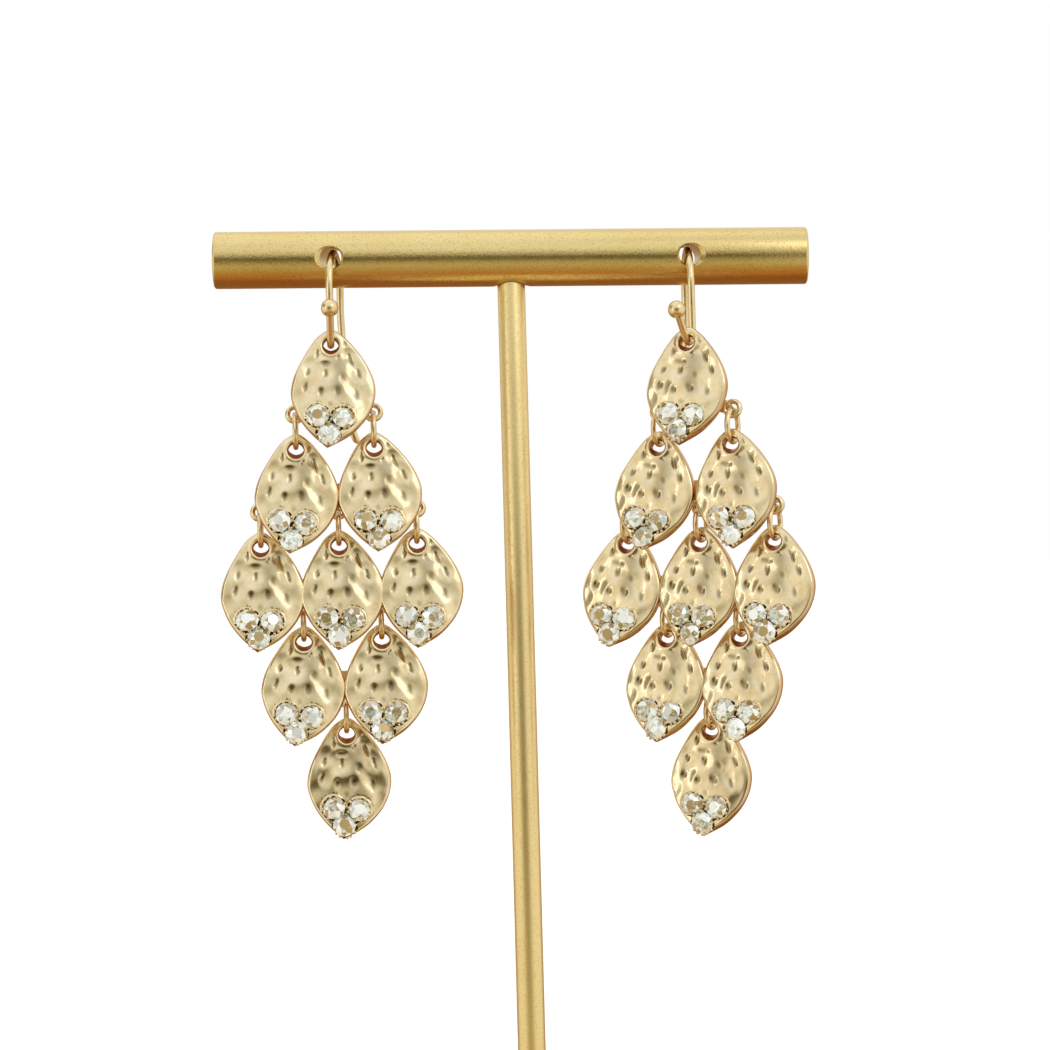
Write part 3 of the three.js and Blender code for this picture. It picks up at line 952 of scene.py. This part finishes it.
def make_drop(side, ear, leaf):
    body = f"{side}_drop"
    joint = next(joint for joint in frame["joints"] if joint["name"] == f"{side}_drop_swing")
    chance = random.Random(side)
    hinge = Vector(joint["pos_m"]) / MM
    drop = Matrix.Translation(hinge) @ Matrix.Rotation(math.radians(ear["yaw"]), 4, "Z")
    rim = Vector((0, 0, 0))
    for i, row in enumerate(ROWS):
        leaves, pitch, tilt, back = row
        tilt = math.radians(tilt)
        bore = rim - Vector((0, RIM_DROP * math.sin(tilt), RIM_DROP * math.cos(tilt)))
        tilted = Matrix.Translation(bore) @ Matrix.Rotation(-tilt, 4, "X")
        bm = bmesh.new()
        following = ROWS[i + 1] if i + 1 < len(ROWS) else None
        sway = pitch * math.tan(math.radians(ear["sways"][i])) if following else 0.0
        for k, x in enumerate(row_places(leaves)):
            lean = Matrix.Rotation(math.radians(-ear["leans"][i][k]), 4, "Y")
            own = Matrix.Translation((x, 0, 0)) @ lean
            add_mesh(bm, leaf, own)
            if following:
                add_pad(bm, back, own)
            make_stones(
                f"{side}_stone_set_{i + 1}_{k + 1}", drop @ tilted @ own, body,
                f"{side}_stones_{i + 1}_{k + 1}", chance,
            )
        if following:
            level = -eyelet_drop(row, following)
            places = [(x + sway, level) for x in row_places(following[0])]
            bars = bmesh.new()
            add_back_bar(bars, leaves, back, places)
            add_mesh(bm, mesh_of(bars, "bar"), Matrix.Identity(4))
        bm.transform(drop @ tilted)
        piece(
            f"{side}_leaf_row_{i + 1}", bm, body, [f"{side}_tier_{i + 1}"],
            [PLAQUE_GOLD, SEAT_GOLD, BORE_PAINTED_SHADE, BACK_BAR_SHADE_CASTING],
        )
        if not following:
            return
        for k, (x, z) in enumerate(places):
            wall = tilted @ Vector((x, back, z - eyelet_wall_drop()))
            middle = wall - UP * RING_BELOW_EYELET
            make_ring(f"{side}_link_{i + 1}_{k + 1}", drop, middle, body, f"{side}_jump_ring_{i + 1}_{k + 1}")
        rim = Vector((rim.x + sway, middle.y, middle.z - RING_ABOVE_RIM))


def make_ring(name, drop, middle, body, node):
    bm = bmesh.new()
    section = round_section(RING_WIRE, UP * RING_RADIUS, RIGHT, UP, 14)
    spun(bm, section, RIGHT, (0, 0, 0), 48, closed=True)
    tidy_solid(bm)
    bm.transform(drop @ Matrix.Translation(middle))
    piece(name, bm, body, [node], [WIRE_GOLD])


make_bar()
make_post()
make_foot()
LEAF = leaf_mesh()
for side_name, earring in EARRINGS.items():
    make_ear_wire(side_name, earring)
    make_drop(side_name, earring, LEAF)


# ---------------------------------------------------------------- floor, light and camera

def make_floor():
    bm = bmesh.new()
    bmesh.ops.create_circle(bm, cap_ends=True, segments=64, radius=4.0)
    made = bpy.data.objects.new("floor", mesh_of(bm, "floor"))
    bpy.context.scene.collection.objects.link(made)
    paint, finish = material("pale_floor")
    white = colour(1, 1, 1)
    shade(
        finish, Base_Color=colour(0.9, 0.9, 0.89), Roughness=0.9, Emission_Color=white, Emission_Strength=0.35
    )
    made.data.materials.append(paint)
    made.visible_glossy = False
    made.visible_transmission = False


def make_world():
    """Soft studio surroundings: pale above and at both sides, dim in front and far left, warm below."""
    world = bpy.data.worlds.new("studio")
    world.use_nodes = True
    bpy.context.scene.world = world
    finish = Finish(world.node_tree)
    way = finish.node("ShaderNodeTexCoord", out="Generated")
    parts = finish.node("ShaderNodeSeparateXYZ", None, {"Vector": way}).socket.node.outputs
    x, y, z = (Value(finish, parts[name]) for name in "XYZ")
    front_stops = [
        (0.00, (0.48, 0.18, 0.05)),
        (0.04, (0.50, 0.22, 0.06)),
        (0.12, (0.50, 0.34, 0.13)),
        (0.24, (0.58, 0.49, 0.26)),
        (0.36, (0.40, 0.34, 0.18)),
        (0.46, (0.09, 0.07, 0.025)),
        (0.53, (0.09, 0.07, 0.025)),
        (0.63, (0.60, 0.57, 0.44)),
        (0.76, (0.88, 0.87, 0.79)),
        (0.87, (0.94, 0.94, 0.92)),
        (1.00, (0.86, 0.87, 0.85)),
    ]
    back_stops = [
        (0.00, (0.30, 0.11, 0.03)),
        (0.30, (0.30, 0.14, 0.06)),
        (0.50, (0.48, 0.33, 0.20)),
        (0.64, (0.88, 0.84, 0.76)),
        (1.00, (0.92, 0.90, 0.83)),
    ]
    level = z * 0.5 + 0.5
    front = finish.node("ShaderNodeValToRGB", {"stops": front_stops}, {"Fac": level})
    rear = finish.node("ShaderNodeValToRGB", {"stops": back_stops}, {"Fac": level})
    both = finish.blend(y.within(-0.15, 0.15), front, rear)
    level_band = (1.0 - (z * z).within(0.1, 0.6)) * (1.0 - y.within(0.35, 0.75))
    left = 0.0 - x
    right_glow, left_glow = x.within(0.14, 0.60) * level_band, left.within(0.30, 0.70) * level_band
    right_side = finish.blend(right_glow * 0.9, both, colour(1.0, 0.94, 0.82))
    left_side = finish.blend(left_glow * 0.9, right_side, colour(1.0, 0.92, 0.76))
    far_left = left.within(0.71, 0.82) * z.within(0.06, 0.28) * (1.0 - y.within(0.2, 0.6))
    screened = finish.blend(far_left * 0.85, left_side, colour(0.20, 0.17, 0.09))
    seen = finish.node("ShaderNodeLightPath", out="Is Camera Ray")
    surround = finish.blend(seen, screened, colour(1.0, 1.0, 1.0))
    light = finish.node("ShaderNodeBackground", None, {"Color": surround, "Strength": 1.0})
    finish.node("ShaderNodeOutputWorld", None, {"Surface": light})


def soft_light(name, place, size, power, target):
    data = bpy.data.lights.new(name, "AREA")
    data.shape = "RECTANGLE"
    data.size, data.size_y = size
    data.energy = power
    made = bpy.data.objects.new(name, data)
    made.location = place
    made.rotation_euler = (Vector(target) - Vector(place)).to_track_quat("-Z", "Y").to_euler()
    bpy.context.scene.collection.objects.link(made)


def make_camera():
    """Level with the middle of the drops, with the slight roll of a hand-set tripod."""
    data = bpy.data.cameras.new("camera")
    data.sensor_width = 36.0
    data.lens = 110.77
    data.clip_start, data.clip_end = 0.01, 20
    made = bpy.data.objects.new("camera", data)
    distance, height, offset, roll = 0.420, 0.09026, 0.00095, 1.55
    made.matrix_world = (
        Matrix.Translation((offset, -distance, height))
        @ Matrix.Rotation(math.pi / 2, 4, "X")
        @ Matrix.Rotation(math.radians(-roll), 4, "Z")
    )
    bpy.context.scene.collection.objects.link(made)
    bpy.context.scene.camera = made


make_floor()
make_world()
soft_light("key_softbox", (0.35, -0.45, 0.55), (0.35, 0.35), 0.32, (0, 0, 0.09))
soft_light("top_softbox", (-0.1, 0.05, 0.7), (0.6, 0.5), 0.16, (0, 0, 0.09))
soft_light("side_strip", (-0.55, -0.35, 0.25), (0.06, 0.4), 0.15, (0, 0, 0.09))
make_camera()
bpy.context.scene.view_settings.view_transform = "Standard"
